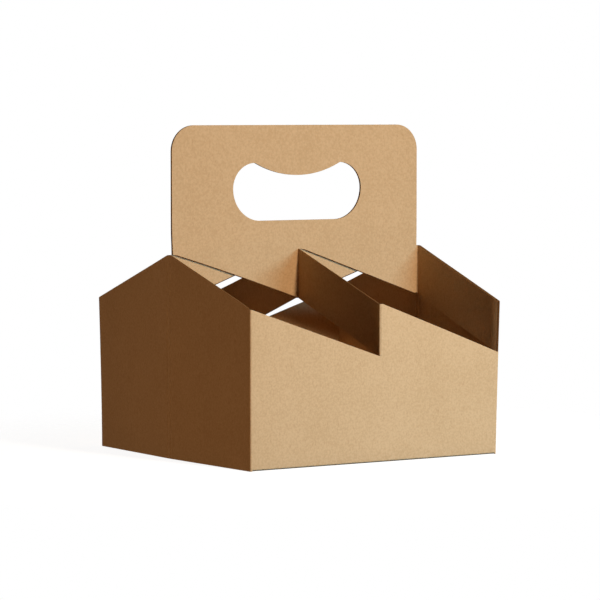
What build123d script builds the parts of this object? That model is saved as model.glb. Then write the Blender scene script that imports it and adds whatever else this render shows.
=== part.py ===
"""Folded board carrier for four cups: one die-cut blank, creased, folded and glued.

Frame: millimetres, X along the front panel, Y into the depth (front panel at -Y), +Z up,
origin at the middle of the underside. Turning the carrier half a turn about Z leaves the walls,
the straps and the riser as they are, so most pieces are drawn once and turned for the other side.
"""
import os
from math import atan2, cos

from build123d import *

# board and its folds
board = 0.75                # thickness of one ply
fold_radius = 0.8           # radius of the ply's middle line in a fold
fold_land = 2.0             # level stretch of a cut beside a fold

# walls
length = 190.0              # front panel, outside, fold to fold
depth = 184.0               # from front panel to back panel, outside
shoulder = 100.5            # height of the walls at a full corner
saw_drop = 33.2             # fall of a panel's slanted top over one half
gable_rise = 31.8           # height of an end panel's peak above its shoulders
spine = 3.7                 # narrow flat between an end panel's two centre creases
end_bulge = 3.2             # how far that flat stands out beyond the corners
strap_shift = 2.4           # strap's fold on its panel, off the panel's middle
strap_lap = 0.5             # strap's fold on the riser, past the riser's middle

# riser: two plies back to back, with the handle
tooth_drop = 32.3           # fall of a riser tooth over one half
riser_width = 191.4         # handle, side to side
handle_rise = 80.9          # handle's top edge above the end panels' peaks
handle_radius = 16.6        # handle's top corners
hole_width = 99.8           # hand hole, over both lobes
hole_below_top = 41.3       # from the handle's top edge down to where the hole is widest
hole_top_radius = 16.8      # lobe above that line
hole_low_radius = 20.8      # lobe below it
hole_dip = 8.2              # how far the hole's top edge sags below the lobes
hole_corner = 1.5           # rounding where the sagging edge meets a lobe

# bottom panel and glue tabs
bottom_gap = 0.4            # bottom panel's cut sides, in from the corner folds
bottom_tab = 20.0           # height of the tab glued inside the back panel
side_tab = 18.0             # width of the tab that closes the ring of walls
tab_gap = 2.0               # air around that tab
edge_gap = 0.3              # air between a butted cut edge and the face it meets

half_length = length / 2
half_depth = depth / 2
half_riser = riser_width / 2
half_hole = hole_width / 2
saw_low = shoulder - saw_drop
peak = shoulder + gable_rise
tooth_tip = peak - tooth_drop
total_height = peak + handle_rise
front_line = -half_depth + board / 2        # middle line of the front panel's ply
back_line = half_depth - board / 2
crease = half_length + end_bulge
end_run = -spine / 2 - front_line           # from the front panel to an end panel's first crease
skin = board / cos(atan2(end_bulge, end_run))   # one ply of an end panel, measured along X
beyond = 5.0                                # overlap of the cutting shapes past the board
clean = 0.01                                # how far a panel's cut passes the board's inner face
turned = Rotation(0, 0, 180)


def strip(*points):
    """Section of one ply along the given middle line, with rounded folds."""
    return trace(FilletPolyline(*points, radius=fold_radius), board)


def upright(section, low, high):
    """Vertical wall from a plan section."""
    return Pos(0, 0, low) * extrude(section, high - low, dir=(0, 0, 1))


def across_x(x0, x1, *outline):
    """Prism along X over an outline of (y, z) points."""
    plane = Plane(origin=(x0, 0, 0), x_dir=(0, 1, 0), z_dir=(1, 0, 0))
    return extrude(plane * make_face(Polyline(*outline, close=True)), x1 - x0, dir=(1, 0, 0))


def across_y(y0, y1, *outline):
    """Prism along Y over an outline of (x, z) points."""
    plane = Plane(origin=(0, y1, 0), x_dir=(1, 0, 0), z_dir=(0, -1, 0))
    return extrude(plane * make_face(Polyline(*outline, close=True)), y1 - y0, dir=(0, -1, 0))


def on_end(y):
    """Point on the middle line of the right end panel's front half."""
    return (half_length - skin / 2 + end_bulge * (y - front_line) / end_run, y)


def inside_end(y, plies):
    """The same point, moved in by a number of plies."""
    x, y = on_end(y)
    return (x - plies * skin, y)


def turn(point):
    return (-point[0], -point[1])


# ring of walls: back panel, right end, front panel, left end
edge_line = back_line - board / 2 - edge_gap
end_line = [
    (half_length - skin / 2, back_line),
    (crease - skin / 2, spine / 2),
    (crease - skin / 2, -spine / 2),
]
ring = strip(
    (-half_length + edge_gap, back_line),
    *end_line,
    on_end(front_line),
    *[turn(point) for point in end_line],
    turn(on_end(-edge_line)),
)
walls = upright(ring, 0, peak)

# slanted tops of the front and back panels, open above the straps' folds
saw_cut = across_y(
    -half_depth - beyond, -half_depth + board + clean,
    (-half_length - beyond, shoulder), (-half_length, shoulder), (strap_shift, saw_low),
    (strap_shift + fold_land, saw_low), (strap_shift + fold_land, shoulder),
    (half_length, saw_low), (half_length + beyond, saw_low),
    (half_length + beyond, peak + beyond), (-half_length - beyond, peak + beyond),
)
# above its panel's low corner an end panel doubles back on itself instead of turning the corner
turn_back = -half_depth + 2 * board
corner_cut = across_x(
    half_length - 4 * board, crease + beyond,
    (-half_depth - beyond, saw_low), (turn_back, saw_low),
    (turn_back, peak + beyond), (-half_depth - beyond, peak + beyond),
)
gable_cut = across_x(
    half_length - 4 * board, crease + beyond,
    (-half_depth - beyond, shoulder), (-half_depth, shoulder), (-spine / 2, peak),
    (spine / 2, peak), (half_depth, shoulder), (half_depth + beyond, shoulder),
    (half_depth + beyond, peak + beyond), (-half_depth - beyond, peak + beyond),
)
for cut in (saw_cut, corner_cut, gable_cut):
    walls -= cut
    walls -= turned * cut

# bottom panel, folded from the front panel and glued up inside the back panel
tab_line = back_line - board
sill = 2 * (fold_radius + board)
half_bottom = half_length - fold_radius - board / 2 - bottom_gap
walls -= across_y(
    -half_depth - beyond, -half_depth + board + clean,
    (-half_bottom, -beyond), (half_bottom, -beyond), (half_bottom, sill), (-half_bottom, sill),
)
bottom_section = strip(
    (front_line, sill), (front_line, board / 2), (tab_line, board / 2), (tab_line, bottom_tab)
)
bottom_plane = Plane(origin=(-half_bottom, 0, 0), x_dir=(0, 1, 0), z_dir=(1, 0, 0))
bottom = extrude(bottom_plane * bottom_section, 2 * half_bottom, dir=(1, 0, 0))

# tab that closes the ring, folded from the left end and glued inside the back panel
side_section = strip(
    turn(on_end(-half_depth + side_tab)), turn(on_end(-tab_line)), (-half_length + side_tab, tab_line)
)
closing_tab = upright(side_section, bottom_tab + tab_gap, saw_low - tab_gap)

# strap: Z-folded from the riser's left tooth to the front panel's right half
strap_section = strip(
    (-fold_land, -board / 2), (strap_lap, -board / 2),
    (strap_shift, front_line), (strap_shift + fold_land, front_line),
)
band_outline = (
    (beyond, peak), (-fold_land, peak), (-half_depth + fold_land, shoulder),
    (-half_depth - beyond, shoulder), (-half_depth - beyond, saw_low),
    (-half_depth + fold_land, saw_low), (-fold_land, tooth_tip), (beyond, tooth_tip),
)
strap = upright(strap_section, 0, total_height) & across_x(-beyond, beyond * 2, *band_outline)

# band: the riser's right tooth, folded along the inside of the right end panel
band_section = strip(
    (half_riser - 2 * fold_land, -board / 2), inside_end(-board / 2, 1), inside_end(turn_back, 1)
)
slanted = across_x(half_riser - fold_land, crease + beyond, *band_outline)
band = upright(band_section, 0, total_height) & slanted

# the end panel and its band are one sheet, doubled back on itself at the front corner
outer_face = (on_end(turn_back)[0] + skin / 2, turn_back)
inner_face = (outer_face[0] - 2 * skin, turn_back)
tip_line = -half_depth + board / 4
lip_radius = 0.95 * board                   # just under half of the doubled sheet
lip_edge = FilletPolyline(
    outer_face, (outer_face[0], tip_line), (inner_face[0], tip_line), inner_face,
    radius=lip_radius,
)
lip_section = make_face(lip_edge + Line(inner_face, outer_face))
lip = upright(lip_section, saw_low, shoulder)

# riser ply with its two teeth and the handle
ply_outline = Polyline(
    (-half_riser, peak), (-fold_land, tooth_tip), (-fold_land, peak), (fold_land, peak),
    (half_riser - fold_land, tooth_tip), (half_riser - fold_land, peak), (half_riser, peak),
    (half_riser, total_height), (-half_riser, total_height), close=True,
)
ply_face = make_face(ply_outline)
ply_face = fillet(ply_face.vertices().group_by(Axis.Y)[-1], handle_radius)
widest = total_height - hole_below_top
hole_top = widest + hole_top_radius
hole_foot = widest - hole_low_radius
top_reach = half_hole - hole_top_radius
low_reach = half_hole - hole_low_radius
hole_edge = [
    Line((-low_reach, hole_foot), (low_reach, hole_foot)),
    CenterArc((low_reach, widest), hole_low_radius, 270, 90),
    CenterArc((top_reach, widest), hole_top_radius, 0, 90),
    ThreePointArc((top_reach, hole_top), (0, hole_top - hole_dip), (-top_reach, hole_top)),
    CenterArc((-top_reach, widest), hole_top_radius, 90, 90),
    CenterArc((-low_reach, widest), hole_low_radius, 180, 90),
]
hand_hole = make_face(hole_edge)
hand_hole = fillet(hand_hole.vertices().group_by(Axis.Y)[-1], hole_corner)
riser_plane = Plane(origin=(0, 0, 0), x_dir=(1, 0, 0), z_dir=(0, -1, 0))
ply = extrude(riser_plane * (ply_face - hand_hole), board, dir=(0, -1, 0))

# the carrier, one folded and glued piece
half_set = [strap, band, lip, ply]
carrier = walls + bottom + closing_tab
for piece in half_set:
    carrier += piece
    carrier += turned * piece

os.makedirs("parts", exist_ok=True)
export_step(carrier, "parts/carrier.step")
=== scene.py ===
"""Looks of the folded kraft board cup carrier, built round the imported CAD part.

The board is drawn as what it is: one thin sheet that is cut, creased and folded. Every panel, strap
and tab is a patch of the sheet's middle surface, the patches share their points along the folds, and
the sheet then gets the thickness of the board. Sizes are millimetres here and metres in Blender.
"""
from math import acos, atan2, cos, exp, hypot, pi, sin, sqrt, tan

import bmesh
import bpy
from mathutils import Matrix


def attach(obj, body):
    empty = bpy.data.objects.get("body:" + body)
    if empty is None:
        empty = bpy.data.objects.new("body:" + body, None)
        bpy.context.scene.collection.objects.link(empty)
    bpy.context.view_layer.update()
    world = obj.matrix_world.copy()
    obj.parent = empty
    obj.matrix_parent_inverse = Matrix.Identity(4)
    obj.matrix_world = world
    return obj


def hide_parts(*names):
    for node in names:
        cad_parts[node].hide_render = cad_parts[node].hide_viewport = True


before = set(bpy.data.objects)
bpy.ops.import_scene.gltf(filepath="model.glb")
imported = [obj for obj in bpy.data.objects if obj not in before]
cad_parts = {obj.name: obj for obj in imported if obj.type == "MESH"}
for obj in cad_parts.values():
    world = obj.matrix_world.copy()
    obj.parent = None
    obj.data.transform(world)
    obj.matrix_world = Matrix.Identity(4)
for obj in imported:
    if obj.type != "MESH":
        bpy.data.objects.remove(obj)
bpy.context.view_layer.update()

MM = 0.001

# board, as in the part
BOARD = 0.75                # thickness of one ply
PRESSED = 0.96              # share of it that is drawn, so that glued plies share no face
FOLD = 0.8                  # radius of the ply's middle line in a fold
LAND = 2.0                  # level stretch of a cut beside a fold

# walls
LENGTH = 190.0              # front panel, outside, fold to fold
DEPTH = 184.0               # from front panel to back panel, outside
SHOULDER = 100.5            # height of the walls at a full corner
SAW_DROP = 33.2             # fall of a panel's slanted top over one half
GABLE_RISE = 31.8           # height of an end panel's peak above its shoulders
SPINE = 3.7                 # narrow flat between an end panel's two centre creases
END_BULGE = 3.2             # how far that flat stands out beyond the corners
CREASE_HALF_WIDTH = 0.7     # of the groove that the creasing rule leaves beside the flat
CREASE_DEPTH = 0.2
STRAP_SHIFT = 2.4           # strap's fold on its panel, off the panel's middle
STRAP_LAP = 0.5             # strap's fold on the riser, past the riser's middle

# riser: two plies back to back, with the handle
TOOTH_DROP = 32.3           # fall of a riser tooth over one half
TOOTH_SHADE_STRIP = 0.55            # strip along a tooth's slanted cut, painted dark as the shadow line under the ply's edge
RISER_WIDTH = 191.4         # handle, side to side
HANDLE_RISE = 80.9          # handle's top edge above the end panels' peaks
HANDLE_RADIUS = 16.6        # handle's top corners
HOLE_WIDTH = 99.8           # hand hole, over both lobes
HOLE_BELOW_TOP = 41.3       # from the handle's top edge down to where the hole is widest
HOLE_TOP_RADIUS = 16.8      # lobe above that line
HOLE_LOW_RADIUS = 20.8      # lobe below it
HOLE_DIP = 8.2              # how far the hole's top edge sags below the lobes
HOLE_CORNER = 0.2           # softening where the sagging edge meets a lobe

# bottom panel and tabs
BOTTOM_GAP = 0.4            # bottom panel's cut sides, in from the corner folds
BOTTOM_TAB = 20.0           # height of the tab glued inside the back panel
SIDE_TAB = 18.0             # width of the tab that closes the ring of walls
TAB_GAP = 2.0               # air above and below that tab
FOOT_CLEAR = 0.01           # lower edges, above the floor

# how a carton that was folded by hand departs from the drawing
BAND_GAP = 1.4              # a band's lower edge, off its end panel
BAND_GAP_POWER = 1.2        # of the sine that this gap follows from fold to fold
TOOTH_GAP = 0.35            # a tooth's slanted cut, off the other ply
TOOTH_GAP_HEIGHT = 14.0     # height above the cut over which this gap fades
TOOTH_GAP_DEPTH = 20.0      # run along a band over which it fades
TOOTH_GAP_START = 8.0       # distance from the riser's middle at which it is full
LEFT_SPRING = 2.1           # back left corner, outward at shoulder height
LEFT_SPREAD = 0.4           # the same corner, outward over its whole height
RIGHT_SPRING = 3.1          # front right corner, outward at shoulder height
RIGHT_PINCH = 0.8           # the same corner, inward over its whole height
RIGHT_HOLLOW = 0.6          # right end's middle, inward
LEFT_SAG = 1.7              # left end's peak and back corner, lower
RIGHT_SAG = 1.5             # front right corner, lower
BACK_BOW = 1.1              # back panel's middle, higher
BACK_BOW_REACH = 75.0       # half the width of that bow
HANDLE_SHIFT = 0.5          # handle's sides, to the left
HANDLE_START = 15.0         # height above the peaks over which the walls' leans fade
FRONT_LIFT = 0.45           # front panel's bottom fold, above the ends' lower edges
FRONT_LIFT_HEIGHT = 15.0    # height over which that lift fades
END_POWER = 3               # how closely a lean keeps to its end panel
CORNER_POWER = 1.5          # how closely a spring keeps to its corner
LEFT_RISE_POWER = 1.5       # how the back left corner's spring grows with height
RIGHT_RISE_POWER = 1.2      # how the front right corner's does
PANEL_POWER = 4             # how closely a bow or lift keeps to the back or front panel

# how finely the sheet is divided
STEP = 7.0                  # usual run between two columns
ARC_STEPS = 6               # columns in a fold
STRAIGHT = 1.5              # half angle between two runs, in radians, above which they have no fold
FOLD_END = 0.9              # past this share of its radius a fold has only its last column
WALL_ROWS = 8
BAND_ROWS = 6
HANDLE_ROWS = 7
HANDLE_STEPS = 12           # columns along a top corner of the handle
LOBE_STEPS = 16             # columns along a lobe of the hand hole
HOLE_STEPS = 20             # columns from the hole's middle to a lobe
SIDE_STEPS = 7              # columns from the hole to a top corner of the handle
DIP_STEPS = (0.0, 0.3, 0.8, 1.6)    # columns on both sides of the corner between dip and lobe
WELD_DECIMALS = 2           # points that agree to this many decimals are one point
PLACE_DECIMALS = 4          # to which the places of the riser's columns are kept
NEAR = 0.001                # slack when places are compared
BAND_SLACK = 0.2            # slack that tells a band from its end panel
CRISP_ANGLE = 0.9           # edges that turn more than this, in radians, are drawn sharp

SAW_LOW = SHOULDER - SAW_DROP
PEAK = SHOULDER + GABLE_RISE
TOOTH_TIP = PEAK - TOOTH_DROP
HEIGHT = PEAK + HANDLE_RISE
WIDEST = HEIGHT - HOLE_BELOW_TOP    # height at which the hand hole is widest
HALF_L = LENGTH / 2
HALF_D = DEPTH / 2
HALF_R = RISER_WIDTH / 2
HALF_HOLE = HOLE_WIDTH / 2
HALF_BOTTOM = HALF_L - FOLD - BOARD / 2 - BOTTOM_GAP
FRONT_LINE = -HALF_D + BOARD / 2    # middle line of the front panel's ply
TAB_LINE = HALF_D - BOARD * 1.5     # middle line of the plies glued inside the back panel
PLY_LINE = -BOARD / 2               # middle line of the riser's front ply
END_RUN = -SPINE / 2 - FRONT_LINE   # from the front panel to an end panel's first crease
SKIN = BOARD / cos(atan2(END_BULGE, END_RUN))   # one ply of an end panel, measured along X
FOOT = FOLD + BOARD / 2             # where the front panel starts, above the bottom fold
TOP_REACH = HALF_HOLE - HOLE_TOP_RADIUS
LOW_REACH = HALF_HOLE - HOLE_LOW_RADIUS
DIP_RADIUS = (TOP_REACH ** 2 + HOLE_DIP ** 2) / (2 * HOLE_DIP)


def turn(point):
    """The same point after half a turn round the upright axis."""
    return (-point[0], -point[1]) + tuple(point[2:])


def end_point(y, plies=0):
    """Middle line of the right end panel's front half, moved in by a number of plies."""
    lean = END_BULGE * min(1.0, (y - FRONT_LINE) / END_RUN)
    return (HALF_L - SKIN / 2 + lean - plies * SKIN, y)


def unit(start, stop):
    """Direction from one point to another."""
    run = hypot(stop[0] - start[0], stop[1] - start[1])
    return (stop[0] - start[0]) / run, (stop[1] - start[1]) / run


def rounded(corners):
    """Line through the corners, each fold drawn as an arc, straight runs divided."""
    line = [corners[0]]
    for before, here, after in zip(corners, corners[1:], corners[2:]):
        ax, ay = unit(here, before)
        bx, by = unit(here, after)
        half = acos(max(-1.0, min(1.0, ax * bx + ay * by))) / 2
        if half > STRAIGHT:
            line.append(here)
            continue
        mx, my = unit((0.0, 0.0), (ax + bx, ay + by))
        cx = here[0] + mx * FOLD / sin(half)
        cy = here[1] + my * FOLD / sin(half)
        reach = FOLD / tan(half)
        start = atan2(here[1] + ay * reach - cy, here[0] + ax * reach - cx)
        stop = atan2(here[1] + by * reach - cy, here[0] + bx * reach - cx)
        sweep = (stop - start + pi) % (2 * pi) - pi
        for k in range(ARC_STEPS + 1):
            angle = start + sweep * k / ARC_STEPS
            line.append((cx + FOLD * cos(angle), cy + FOLD * sin(angle)))
    line.append(corners[-1])
    return divided(line)


def divided(line):
    """The same line, with more points on its long runs."""
    points = [line[0]]
    for a, b in zip(line, line[1:]):
        n = max(1, round(hypot(b[0] - a[0], b[1] - a[1]) / STEP))
        points += [(a[0] + (b[0] - a[0]) * k / n, a[1] + (b[1] - a[1]) * k / n) for k in range(1, n + 1)]
    return points


def between(value, *stations):
    """Straight-line reading of (place, height) stations."""
    for (a, za), (b, zb) in zip(stations, stations[1:]):
        if value <= b:
            return za + (zb - za) * max(0.0, value - a) / (b - a)
    return stations[-1][1]


class Sheet:
    """Middle surface of the board: patches that share points where they meet."""

    def __init__(self):
        self.index = {}
        self.points = []
        self.faces = []
        self.shade_painted_faces = []

    def point(self, p):
        key = tuple(round(c, WELD_DECIMALS) for c in p)
        if key not in self.index:
            self.index[key] = len(self.points)
            self.points.append(p)
        return self.index[key]

    def patch(self, columns, painted_shade=0):
        """Quads between neighbouring columns of points; a number of the lowest rows can be painted dark
        as shade.
        """
        for a, b in zip(columns, columns[1:]):
            for j in range(len(a) - 1):
                corners = [self.point(p) for p in (a[j], b[j], b[j + 1], a[j + 1])]
                corners = list(dict.fromkeys(corners))
                if len(corners) > 2:
                    self.faces.append(corners)
                    self.shade_painted_faces.append(j < painted_shade)


def column(x, y, low, high, rows):
    """Points one above the other, evenly spaced."""
    return [(x, y, low + (high - low) * k / rows) for k in range(rows + 1)]


def both(sheet, columns, painted_shade=0):
    """A patch and its copy half a turn round the upright axis."""
    sheet.patch(columns, painted_shade)
    sheet.patch([[turn(p) for p in col] for col in columns], painted_shade)


board = Sheet()

# ring of walls, drawn from the left end's spine round the front to the right end's spine
spine_x = end_point(-SPINE / 2)[0]
right_half = [
    end_point(FRONT_LINE),
    end_point(-SPINE / 2 - CREASE_HALF_WIDTH),
    (spine_x - CREASE_DEPTH, -SPINE / 2),
    (spine_x, -SPINE / 2 + CREASE_HALF_WIDTH),
    (spine_x, 0.0),
]
left_half = [(-x, y) for x, y in reversed(right_half)]
front_run = rounded(left_half + [(-HALF_BOTTOM, FRONT_LINE), (STRAP_SHIFT, FRONT_LINE)])
front_rest = rounded([
    (STRAP_SHIFT, FRONT_LINE),
    (STRAP_SHIFT + FOLD, FRONT_LINE),
    (STRAP_SHIFT + LAND, FRONT_LINE),
    (HALF_BOTTOM, FRONT_LINE),
] + right_half)
ring = front_run + front_rest[1:]
both(board, [column(x, y, FOOT, SAW_LOW, WALL_ROWS) for x, y in ring])

# the walls stand on the floor, apart from the front panel, which folds under
feet = [column(x, y, FOOT_CLEAR, FOOT, 1) for x, y in ring]
board.patch([[turn(p) for p in col] for col in feet])
board.patch([col for col in feet if col[0][0] < -HALF_BOTTOM + NEAR])
board.patch([col for col in feet if col[0][0] > HALF_BOTTOM - NEAR])


def gable_top(y):
    """Upper edge of an end panel's front half."""
    return between(y, (-HALF_D, SHOULDER), (-SPINE / 2, PEAK), (0.0, PEAK))


def left_top(x, y):
    """Upper edge from the left spine down to the strap's fold on the front panel."""
    if y > FRONT_LINE + FOLD:
        return gable_top(y)
    return between(x, (-HALF_L, SHOULDER), (STRAP_SHIFT, SAW_LOW))


def right_top(x):
    """Upper edge from the strap's fold down to the front panel's low corner."""
    return between(x, (STRAP_SHIFT + LAND, SHOULDER), (HALF_L - FOLD - BOARD / 2, SAW_LOW))


# slanted tops of the front panel's halves and the gables of the ends
both(board, [column(x, y, SAW_LOW, left_top(x, y), BAND_ROWS) for x, y in front_run])
front_right = [p for p in front_rest if p[1] < FRONT_LINE + NEAR and p[0] > STRAP_SHIFT + FOLD - NEAR]
both(board, [column(x, y, SAW_LOW, right_top(x), BAND_ROWS) for x, y in front_right])
right_end = [p for p in front_rest if p[1] > FRONT_LINE + FOLD_END * FOLD]
both(board, [column(x, y, SAW_LOW, gable_top(y), BAND_ROWS) for x, y in right_end])

# straps, Z-folded from the riser to the front and back panels
strap_run = rounded([
    (-LAND, PLY_LINE), (STRAP_LAP, PLY_LINE), (STRAP_SHIFT, FRONT_LINE), (STRAP_SHIFT + LAND, FRONT_LINE)
])[1:-1]


def strap_low(y):
    """Lower cut of the straps and the bands."""
    return between(y, (-HALF_D + FOLD, SAW_LOW), (-FOLD, TOOTH_TIP))


def strap_high(y):
    """Upper cut of the straps and the bands."""
    return between(y, (-HALF_D + FOLD, SHOULDER), (-FOLD, PEAK))


both(board, [column(x, y, strap_low(y), strap_high(y), BAND_ROWS) for x, y in strap_run])

# bands, folded from the riser along the inside of the end panels and doubled back at the corner
nose_x, nose_y = right_end[0]
band_run = rounded([
    (HALF_R - 2 * LAND, PLY_LINE), end_point(PLY_LINE, 1), (nose_x - SKIN, nose_y)
])[1:]
nose_angles = [pi * k / ARC_STEPS for k in range(ARC_STEPS + 1)]
nose = [(nose_x - SKIN / 2 - SKIN / 2 * cos(a), nose_y - SKIN / 2 * sin(a)) for a in nose_angles]


def band_column(x, y):
    """Column of a band: between its folds the lower edge stands off the end panel."""
    low, high = strap_low(y), strap_high(y)
    along = (y - band_run[0][1]) / (band_run[-1][1] - band_run[0][1])
    gap = BAND_GAP * max(0.0, sin(pi * along)) ** BAND_GAP_POWER
    upright = column(x, y, low, high, BAND_ROWS)
    return [(px - gap * (high - z) / (high - low), py, z) for px, py, z in upright]


both(board, [band_column(x, y) for x, y in band_run])
# the nose of each doubled corner is painted dark as shade: all its rows take the dark shade material
both(board, [
    column(x, y, strap_low(nose_y), strap_high(nose_y), BAND_ROWS) for x, y in nose
], painted_shade=BAND_ROWS)


# riser plies with their teeth, the handle and the hand hole
def hole_edges(x):
    """Lower and upper edge of the hand hole at x, or its widest line outside it."""
    if abs(x) >= HALF_HOLE:
        return WIDEST, WIDEST
    past_low = max(0.0, abs(x) - LOW_REACH)
    past_top = max(0.0, abs(x) - TOP_REACH)
    low = WIDEST - sqrt(HOLE_LOW_RADIUS ** 2 - past_low ** 2)
    lobe = WIDEST + sqrt(HOLE_TOP_RADIUS ** 2 - past_top ** 2)
    sag = WIDEST + HOLE_TOP_RADIUS - HOLE_DIP + DIP_RADIUS - sqrt(DIP_RADIUS ** 2 - x ** 2)
    softened = (lobe + sag - sqrt((lobe - sag) ** 2 + HOLE_CORNER ** 2)) / 2
    return low, max(softened, WIDEST)


def handle_top(x):
    """Upper edge of the handle at x, with its round corners."""
    into_corner = max(0.0, HANDLE_RADIUS - (HALF_R - abs(x)))
    return HEIGHT - HANDLE_RADIUS + sqrt(HANDLE_RADIUS ** 2 - into_corner ** 2)


def ply_columns():
    """Places of the riser's columns, crowded where its outline curves."""
    places = {0.0, -FOLD, LAND, HALF_R - LAND, strap_run[0][0]}
    for k in range(HANDLE_STEPS + 1):
        places.add(HALF_R - HANDLE_RADIUS * (1 - cos(pi / 2 * k / HANDLE_STEPS)))
    for k in range(LOBE_STEPS + 1):
        places.add(HALF_HOLE - HOLE_LOW_RADIUS * (1 - cos(pi / 2 * k / LOBE_STEPS)))
    for step in DIP_STEPS:
        places.update((TOP_REACH - step, TOP_REACH + step))
    for k in range(1, HOLE_STEPS):
        places.add(LOW_REACH * k / HOLE_STEPS)
    for k in range(1, SIDE_STEPS):
        places.add(HALF_HOLE + (HALF_R - HANDLE_RADIUS - HALF_HOLE) * k / SIDE_STEPS)
    mirrored = {round(s * p, PLACE_DECIMALS) for p in places for s in (-1, 1)}
    return sorted(mirrored - {round(-strap_run[0][0], PLACE_DECIMALS)})


def tooth(x):
    """Lower edge of the front ply: the left tooth, the strap's fold and the right tooth."""
    if x <= 0:
        return between(x, (-HALF_R, PEAK), (-FOLD, TOOTH_TIP))
    return between(x, (LAND, PEAK), (HALF_R - LAND, TOOTH_TIP))


ply_places = ply_columns()
left_tooth = [x for x in ply_places if x <= strap_run[0][0] + NEAR]
right_tooth = [x for x in ply_places if x >= LAND - NEAR] + [band_run[0][0]]
for run in (left_tooth, right_tooth):
    # a narrow strip along each tooth's slanted cut is painted dark as the shadow line under the ply's
    # edge
    shade_strip_tops = [min(tooth(x) + TOOTH_SHADE_STRIP, (tooth(x) + PEAK) / 2) for x in run]
    both(board, [column(x, PLY_LINE, tooth(x), top, 1) for x, top in zip(run, shade_strip_tops)], painted_shade=1)
    both(board, [column(x, PLY_LINE, top, PEAK, BAND_ROWS) for x, top in zip(run, shade_strip_tops)])
both(board, [column(x, PLY_LINE, PEAK, hole_edges(x)[0], HANDLE_ROWS) for x in ply_places])
both(board, [column(x, PLY_LINE, hole_edges(x)[1], handle_top(x), HANDLE_ROWS) for x in ply_places])

# bottom panel with its front fold and the tab glued up inside the back panel
bottom_run = rounded([
    (FRONT_LINE, 2 * FOOT), (FRONT_LINE, BOARD / 2), (TAB_LINE, BOARD / 2), (TAB_LINE, BOTTOM_TAB)
])[1:]
bottom_places = [x for x, y in ring if y < FRONT_LINE + NEAR and abs(x) < HALF_BOTTOM + NEAR]
board.patch([[(x, y, z) for y, z in bottom_run] for x in bottom_places])

# tab that closes the ring of walls, from its fold at the left end, glued inside the back panel
tab_run = rounded([
    turn(end_point(-HALF_D + STEP)), turn(end_point(-TAB_LINE)), (-HALF_L + SIDE_TAB, TAB_LINE)
])[2:]
board.patch([column(x, y, BOTTOM_TAB + TAB_GAP, SAW_LOW - TAB_GAP, WALL_ROWS) for x, y in tab_run])


def eased(value, low, high):
    """Smooth step from 0 at low to 1 at high."""
    t = max(0.0, min(1.0, (value - low) / (high - low)))
    return t * t * (3 - 2 * t)


def settle(x, y, z):
    """Small bows and leans of a carton that was folded by hand."""
    high = z / SHOULDER
    below_handle = 1 - eased(z, PEAK, PEAK + HANDLE_START)
    rise = min(1.0, high) * below_handle
    on_left = max(0.0, -x / HALF_L) ** END_POWER
    on_right = max(0.0, x / HALF_L) ** END_POWER
    to_front = max(0.0, -y / HALF_D)
    to_back = max(0.0, y / HALF_D)
    dx = 0.0
    dy = 0.0
    dz = 0.0

    # the two doubled corners spring open and hang a little lower, and so does the left peak
    left_spring = LEFT_SPREAD + LEFT_SPRING * high ** LEFT_RISE_POWER
    right_spring = RIGHT_SPRING * high ** RIGHT_RISE_POWER - RIGHT_PINCH
    dx -= on_left * to_back ** CORNER_POWER * left_spring * below_handle
    dx += on_right * to_front ** CORNER_POWER * right_spring * below_handle
    dx -= RIGHT_HOLLOW * on_right * (1 - abs(y) / HALF_D) ** 2 * rise
    dz -= LEFT_SAG * on_left * (1 - to_front) * rise
    dz -= RIGHT_SAG * on_right * to_front * rise

    # the back panel bows up in its middle, and the handle's sides sit a little to the left
    bow = max(0.0, 1 - (x / BACK_BOW_REACH) ** 2) * min(1.0, z / SAW_LOW)
    dz += BACK_BOW * to_back ** PANEL_POWER * bow
    if abs(y) < BOARD:
        dx -= HANDLE_SHIFT * (x / HALF_R) ** 2 * (1 - below_handle)

    # the bottom fold rides a little above the ends' lower edges
    if abs(x) < HALF_BOTTOM + NEAR and y < 0:
        dz += FRONT_LIFT * to_front ** PANEL_POWER * (1 - eased(z, 0.0, FRONT_LIFT_HEIGHT))

    # the teeth stand off the other ply along their slanted cuts, and take the bands' ends with them
    if abs(y) < TOOTH_GAP_DEPTH and abs(x) < end_point(0.0, 1)[0] + BAND_SLACK:
        side = 1 if y > 0 else -1
        above_cut = max(0.0, z - tooth(-side * x))
        beside_ply = max(0.0, 1 - (abs(y) - BOARD / 2) / TOOTH_GAP_DEPTH)
        from_strap = eased(abs(x), LAND, TOOTH_GAP_START)
        dy += side * TOOTH_GAP * exp(-above_cut / TOOTH_GAP_HEIGHT) * beside_ply * from_strap
    return x + dx, y + dy, z + dz


FACE, CUT_EDGE, SHADE_PAINT = range(3)      # the board's materials, in the order of the mesh's slots
mesh = bpy.data.meshes.new("carrier_board")
mesh.from_pydata([tuple(c * MM for c in settle(*p)) for p in board.points], [], board.faces)
# faces in the rows marked for painted shade get the dark shade material, the rest get the board's face
for face, painted_shade in zip(mesh.polygons, board.shade_painted_faces):
    face.material_index = SHADE_PAINT if painted_shade else FACE
work = bmesh.new()
work.from_mesh(mesh)
bmesh.ops.recalc_face_normals(work, faces=work.faces)
for face in work.faces:
    face.smooth = True
work.to_mesh(mesh)
work.free()
carrier = bpy.data.objects.new("carrier_board", mesh)
bpy.context.scene.collection.objects.link(carrier)
thick = carrier.modifiers.new("board thickness", "SOLIDIFY")
thick.thickness = BOARD * PRESSED * MM
thick.offset = 0.0
thick.use_even_offset = True
thick.material_offset_rim = CUT_EDGE
crisp = carrier.modifiers.new("crisp cut edges", "EDGE_SPLIT")
crisp.split_angle = CRISP_ANGLE


def linear(code):
    """sRGB hex to a linear RGBA colour."""
    parts = [int(code[k:k + 2], 16) / 255 for k in (1, 3, 5)]
    return [c / 12.92 if c <= 0.04045 else ((c + 0.055) / 1.055) ** 2.4 for c in parts] + [1.0]


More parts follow.
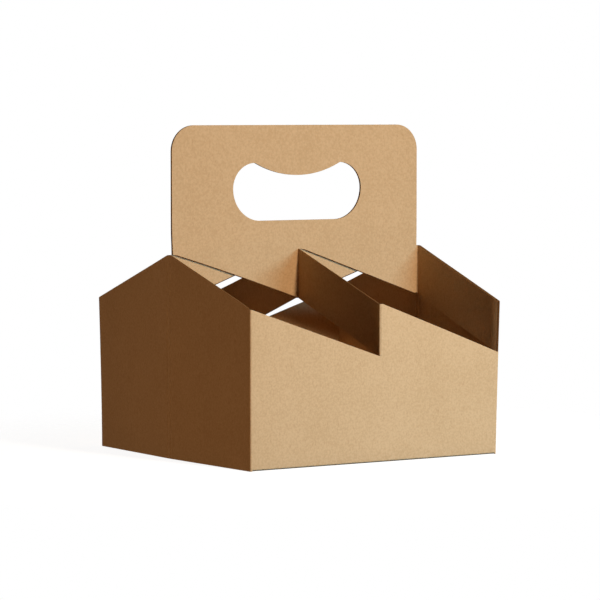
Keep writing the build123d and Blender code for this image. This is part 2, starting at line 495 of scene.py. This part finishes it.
def add_node(tree, kind, settings=(), inputs=()):
    """New node with its settings; an input takes a value or another node's output."""
    node = tree.nodes.new(kind)
    for name, value in dict(settings).items():
        setattr(node, name, value)
    for name, value in dict(inputs).items():
        if isinstance(value, bpy.types.NodeSocket):
            tree.links.new(value, node.inputs[name])
        else:
            node.inputs[name].default_value = value
    return node


def per_mm(size):
    """Noise scale for features of that size in millimetres."""
    return 1.0 / (size * MM)


def new_material(name):
    """Empty node material and its tree."""
    material = bpy.data.materials.new(name)
    material.use_nodes = True
    material.node_tree.nodes.clear()
    return material, material.node_tree


# uncoated paper fibre scatters nearly all light and has next to no gloss; sizes in millimetres
FIBRE_IOR = 1.45
FIBRE_GLOSS = 0.04
FACE_ROUGHNESS = 0.6        # calendered
CUT_AND_SHADE_ROUGHNESS = 0.95       # cut edges and the painted shade strips
CLOUD_SIZE = 30.0           # of the pulp's cloudy formation
CLOUD_SHARE = 0.25          # of the tone; the rest is mottle
MOTTLE_SIZE = 1.3
MOTTLE_RELIEF = 0.05
FLECK_SIZE = 0.9            # across the fibres, which run up the walls
FLECK_STRETCH = 0.22        # scale of the flecks' pattern along the fibres
FRAY_SIZE = 0.6

# kraft liner board: unbleached pulp, calendered and uncoated; matt, with a cloudy formation, a fine
# mottle and darker fibre flecks. Real fibres are too fine to show, so mottle and flecks are coarser.
kraft, tree = new_material("kraft_board_face")
place = add_node(tree, "ShaderNodeTexCoord").outputs["Object"]
cloud = add_node(tree, "ShaderNodeTexNoise", {},
                 {"Vector": place, "Scale": per_mm(CLOUD_SIZE), "Detail": 2.0})
mottle = add_node(tree, "ShaderNodeTexNoise", {},
                  {"Vector": place, "Scale": per_mm(MOTTLE_SIZE), "Detail": 2.0})
fibre = add_node(tree, "ShaderNodeMapping", {}, {"Vector": place, "Scale": (1.0, 1.0, FLECK_STRETCH)})
fleck = add_node(tree, "ShaderNodeTexNoise", {},
                 {"Vector": fibre.outputs["Vector"], "Scale": per_mm(FLECK_SIZE), "Detail": 1.0})
cloud_part = add_node(tree, "ShaderNodeMath", {"operation": "MULTIPLY"},
                      {0: cloud.outputs["Fac"], 1: CLOUD_SHARE})
tone = add_node(tree, "ShaderNodeMath", {"operation": "MULTIPLY_ADD"},
                {0: mottle.outputs["Fac"], 1: 1 - CLOUD_SHARE, 2: cloud_part.outputs[0]})
spread = add_node(tree, "ShaderNodeMapRange", {},
                  {"Value": tone.outputs[0], "From Min": 0.38, "From Max": 0.62})
body_colour = add_node(tree, "ShaderNodeMix", {"data_type": "RGBA"}, {
    "Factor": spread.outputs["Result"], 6: linear("#BE996D"), 7: linear("#C9A478")})
dark_fleck = add_node(tree, "ShaderNodeMapRange", {},
                      {"Value": fleck.outputs["Fac"], "From Min": 0.62, "From Max": 0.76, "To Max": 0.35})
flecked = add_node(tree, "ShaderNodeMix", {"data_type": "RGBA"}, {
    "Factor": dark_fleck.outputs["Result"], 6: body_colour.outputs[2], 7: linear("#A87F55")})
relief = add_node(tree, "ShaderNodeBump", {}, {
    "Height": mottle.outputs["Fac"], "Strength": 0.25, "Distance": MOTTLE_RELIEF * MM})
surface = add_node(tree, "ShaderNodeBsdfPrincipled", {}, {
    "Base Color": flecked.outputs[2], "Roughness": FACE_ROUGHNESS, "IOR": FIBRE_IOR,
    "Specular IOR Level": FIBRE_GLOSS, "Normal": relief.outputs["Normal"]})
add_node(tree, "ShaderNodeOutputMaterial", {}, {"Surface": surface.outputs["BSDF"]})

# cut edge of the same board: loose fibres of the core, darker and duller than the face
cut_edge, tree = new_material("kraft_board_cut_edge")
place = add_node(tree, "ShaderNodeTexCoord").outputs["Object"]
fray = add_node(tree, "ShaderNodeTexNoise", {},
                {"Vector": place, "Scale": per_mm(FRAY_SIZE), "Detail": 3.0})
edge_colour = add_node(tree, "ShaderNodeMix", {"data_type": "RGBA"}, {
    "Factor": fray.outputs["Fac"], 6: linear("#74502E"), 7: linear("#9A744A")})
surface = add_node(tree, "ShaderNodeBsdfPrincipled", {}, {
    "Base Color": edge_colour.outputs[2], "Roughness": CUT_AND_SHADE_ROUGHNESS, "IOR": FIBRE_IOR,
    "Specular IOR Level": FIBRE_GLOSS})
add_node(tree, "ShaderNodeOutputMaterial", {}, {"Surface": surface.outputs["BSDF"]})

# painted shade: strips along the teeth's slanted cuts, standing in for the shadow line under the front
# ply's edge, and the nose of the doubled corners, painted dark and dull; the strips are too narrow for a
# pattern to show
shade_paint, tree = new_material("kraft_board_painted_shade")
surface = add_node(tree, "ShaderNodeBsdfPrincipled", {}, {
    "Base Color": linear("#5A3619"), "Roughness": CUT_AND_SHADE_ROUGHNESS, "IOR": FIBRE_IOR,
    "Specular IOR Level": FIBRE_GLOSS})
add_node(tree, "ShaderNodeOutputMaterial", {}, {"Surface": surface.outputs["BSDF"]})

for material in (kraft, cut_edge, shade_paint):
    mesh.materials.append(material)
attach(carrier, "root")
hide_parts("carrier")


def background_rays(tree):
    """1 for rays that show the background, direct or mirrored, and 0 for light on the carrier."""
    rays = add_node(tree, "ShaderNodeLightPath")
    mirrored = add_node(tree, "ShaderNodeMath", {"operation": "MAXIMUM"},
                        {0: rays.outputs["Is Glossy Ray"], 1: rays.outputs["Is Transmission Ray"]})
    return add_node(tree, "ShaderNodeMath", {"operation": "MAXIMUM"},
                    {0: rays.outputs["Is Camera Ray"], 1: mirrored.outputs[0]}).outputs[0]


# floor: white to the eye with the carrier's shadow on it, fading into the white surround, and a dim
# warm bounce as a light. Inside the carrier's walls it doesn't glow, so slits there stay dark.
FLOOR = 1.6                 # half of its side, in metres
FADE_START = 0.12           # distance from the middle, in metres, at which it starts to fade
FADE_END = 0.36
FLOOR_GLOW = 0.92
GLOW_UNDER = 3 * BOARD      # how far the glow reaches in under the front panel's fold
floor_mesh = bpy.data.meshes.new("floor")
floor_corners = [(-FLOOR, -FLOOR, 0), (FLOOR, -FLOOR, 0), (FLOOR, FLOOR, 0), (-FLOOR, FLOOR, 0)]
floor_mesh.from_pydata(floor_corners, [], [(0, 1, 2, 3)])
floor = bpy.data.objects.new("floor", floor_mesh)
bpy.context.scene.collection.objects.link(floor)
floor_paint, tree = new_material("studio_floor")
place = add_node(tree, "ShaderNodeTexCoord").outputs["Object"]
reach = add_node(tree, "ShaderNodeVectorMath", {"operation": "LENGTH"}, {0: place})
fade = add_node(tree, "ShaderNodeMapRange", {"interpolation_type": "SMOOTHSTEP"},
                {"Value": reach.outputs["Value"], "From Min": FADE_START, "From Max": FADE_END})
seen = background_rays(tree)
warm = add_node(tree, "ShaderNodeBsdfDiffuse", {}, {"Color": linear("#553A22")})
white = add_node(tree, "ShaderNodeBsdfDiffuse", {}, {"Color": linear("#9C9C9C")})
plan = add_node(tree, "ShaderNodeSeparateXYZ", {}, {"Vector": place})
plan_x = add_node(tree, "ShaderNodeMath", {"operation": "ABSOLUTE"}, {0: plan.outputs["X"]})
plan_y = add_node(tree, "ShaderNodeMath", {"operation": "ABSOLUTE"}, {0: plan.outputs["Y"]})
end_line = add_node(tree, "ShaderNodeMath", {"operation": "MULTIPLY_ADD"}, {
    0: plan_y.outputs[0], 1: -END_BULGE / HALF_D, 2: (HALF_L + END_BULGE - BOARD / 2) * MM})
within_x = add_node(tree, "ShaderNodeMath", {"operation": "LESS_THAN"},
                    {0: plan_x.outputs[0], 1: end_line.outputs[0]})
before_back = add_node(tree, "ShaderNodeMath", {"operation": "LESS_THAN"},
                       {0: plan.outputs["Y"], 1: (HALF_D - BOARD / 2) * MM})
behind_front = add_node(tree, "ShaderNodeMath", {"operation": "GREATER_THAN"},
                        {0: plan.outputs["Y"], 1: (GLOW_UNDER - HALF_D) * MM})
within_y = add_node(tree, "ShaderNodeMath", {"operation": "MULTIPLY"},
                    {0: before_back.outputs[0], 1: behind_front.outputs[0]})
inside = add_node(tree, "ShaderNodeMath", {"operation": "MULTIPLY"},
                  {0: within_x.outputs[0], 1: within_y.outputs[0]})
glow = add_node(tree, "ShaderNodeMath", {"operation": "MULTIPLY_ADD"},
                {0: inside.outputs[0], 1: -FLOOR_GLOW, 2: FLOOR_GLOW})
lift = add_node(tree, "ShaderNodeEmission", {}, {"Color": linear("#FFFFFF"), "Strength": glow.outputs[0]})
pale = add_node(tree, "ShaderNodeAddShader", {}, {0: white.outputs["BSDF"], 1: lift.outputs["Emission"]})
ground = add_node(tree, "ShaderNodeMixShader", {}, {
    "Fac": seen, 1: warm.outputs["BSDF"], 2: pale.outputs["Shader"]})
clear = add_node(tree, "ShaderNodeBsdfTransparent")
hidden = add_node(tree, "ShaderNodeMath", {"operation": "MULTIPLY"},
                  {0: fade.outputs["Result"], 1: seen})
faded = add_node(tree, "ShaderNodeMixShader", {}, {
    "Fac": hidden.outputs[0], 1: ground.outputs["Shader"], 2: clear.outputs["BSDF"]})
add_node(tree, "ShaderNodeOutputMaterial", {}, {"Surface": faded.outputs["Shader"]})
floor_mesh.materials.append(floor_paint)

# surround: white behind the carrier, dim and warm as a light
world = bpy.data.worlds.new("studio")
bpy.context.scene.world = world
world.use_nodes = True
tree = world.node_tree
tree.nodes.clear()
sky = add_node(tree, "ShaderNodeMix", {"data_type": "RGBA"}, {
    "Factor": background_rays(tree), 6: linear("#0A0806"), 7: linear("#FFFFFF")})
shine = add_node(tree, "ShaderNodeBackground", {}, {"Color": sky.outputs[2]})
add_node(tree, "ShaderNodeOutputWorld", {}, {"Surface": shine.outputs["Background"]})


def soft_box(name, place, aim, width, height, watts, colour):
    """Rectangular studio lamp at a place, facing its aim; metres."""
    lamp = bpy.data.lights.new(name, "AREA")
    lamp.shape = "RECTANGLE"
    lamp.size = width
    lamp.size_y = height
    lamp.energy = watts
    lamp.color = linear(colour)[:3]
    box = bpy.data.objects.new(name, lamp)
    box.location = place
    toward = [a - p for a, p in zip(aim, place)]
    flat = hypot(toward[0], toward[1])
    box.rotation_euler = (pi / 2 + atan2(toward[2], flat), 0.0, atan2(-toward[0], toward[1]))
    box.visible_camera = False
    bpy.context.scene.collection.objects.link(box)


# warm key from the front and above, a small cool fill low and near below it, a warm bounce on the
# left end, and weaker lamps for the back and the right end
soft_box("key_softbox", place=(0.10, -1.09, 0.61), aim=(0.0, 0.0, 0.10),
         width=0.11, height=0.22, watts=11.8, colour="#FFEAD3")
soft_box("cool_fill", place=(0.15, -0.60, 0.02), aim=(-0.05, -0.09, 0.06),
         width=0.14, height=0.03, watts=2.7, colour="#A4D6FF")
soft_box("left_fill", place=(-0.65, -0.05, 0.03), aim=(0.0, -0.05, 0.05),
         width=0.3, height=0.05, watts=0.65, colour="#FFD0A0")
soft_box("back_fill", place=(0.30, 1.10, 0.10), aim=(0.0, 0.0, 0.10),
         width=0.3, height=0.12, watts=7.5, colour="#FFF0DC")
soft_box("right_fill", place=(0.95, 0.15, 0.10), aim=(0.0, 0.0, 0.06),
         width=0.6, height=0.14, watts=3.6, colour="#FFDDB4")

# camera, as fitted to the photograph's edges
PHOTO_SIZE = 600            # pixels
FOCAL_PIXELS = 3222.0
SENSOR = 36.0               # millimetres
CAMERA_PLACE = (-1.157686, -1.761638, 0.224857)     # metres
CAMERA_YAW = 0.58222        # radians
CAMERA_PITCH = 0.05984
CAMERA_REACH = 20.0         # metres
camera = bpy.data.objects.new("camera", bpy.data.cameras.new("camera"))
camera.data.sensor_width = SENSOR
camera.data.lens = FOCAL_PIXELS / PHOTO_SIZE * SENSOR
camera.data.clip_end = CAMERA_REACH
camera.location = CAMERA_PLACE
camera.rotation_euler = (pi / 2 - CAMERA_PITCH, 0.0, -CAMERA_YAW)
bpy.context.scene.collection.objects.link(camera)
bpy.context.scene.camera = camera

bpy.context.scene.view_settings.view_transform = "Standard"
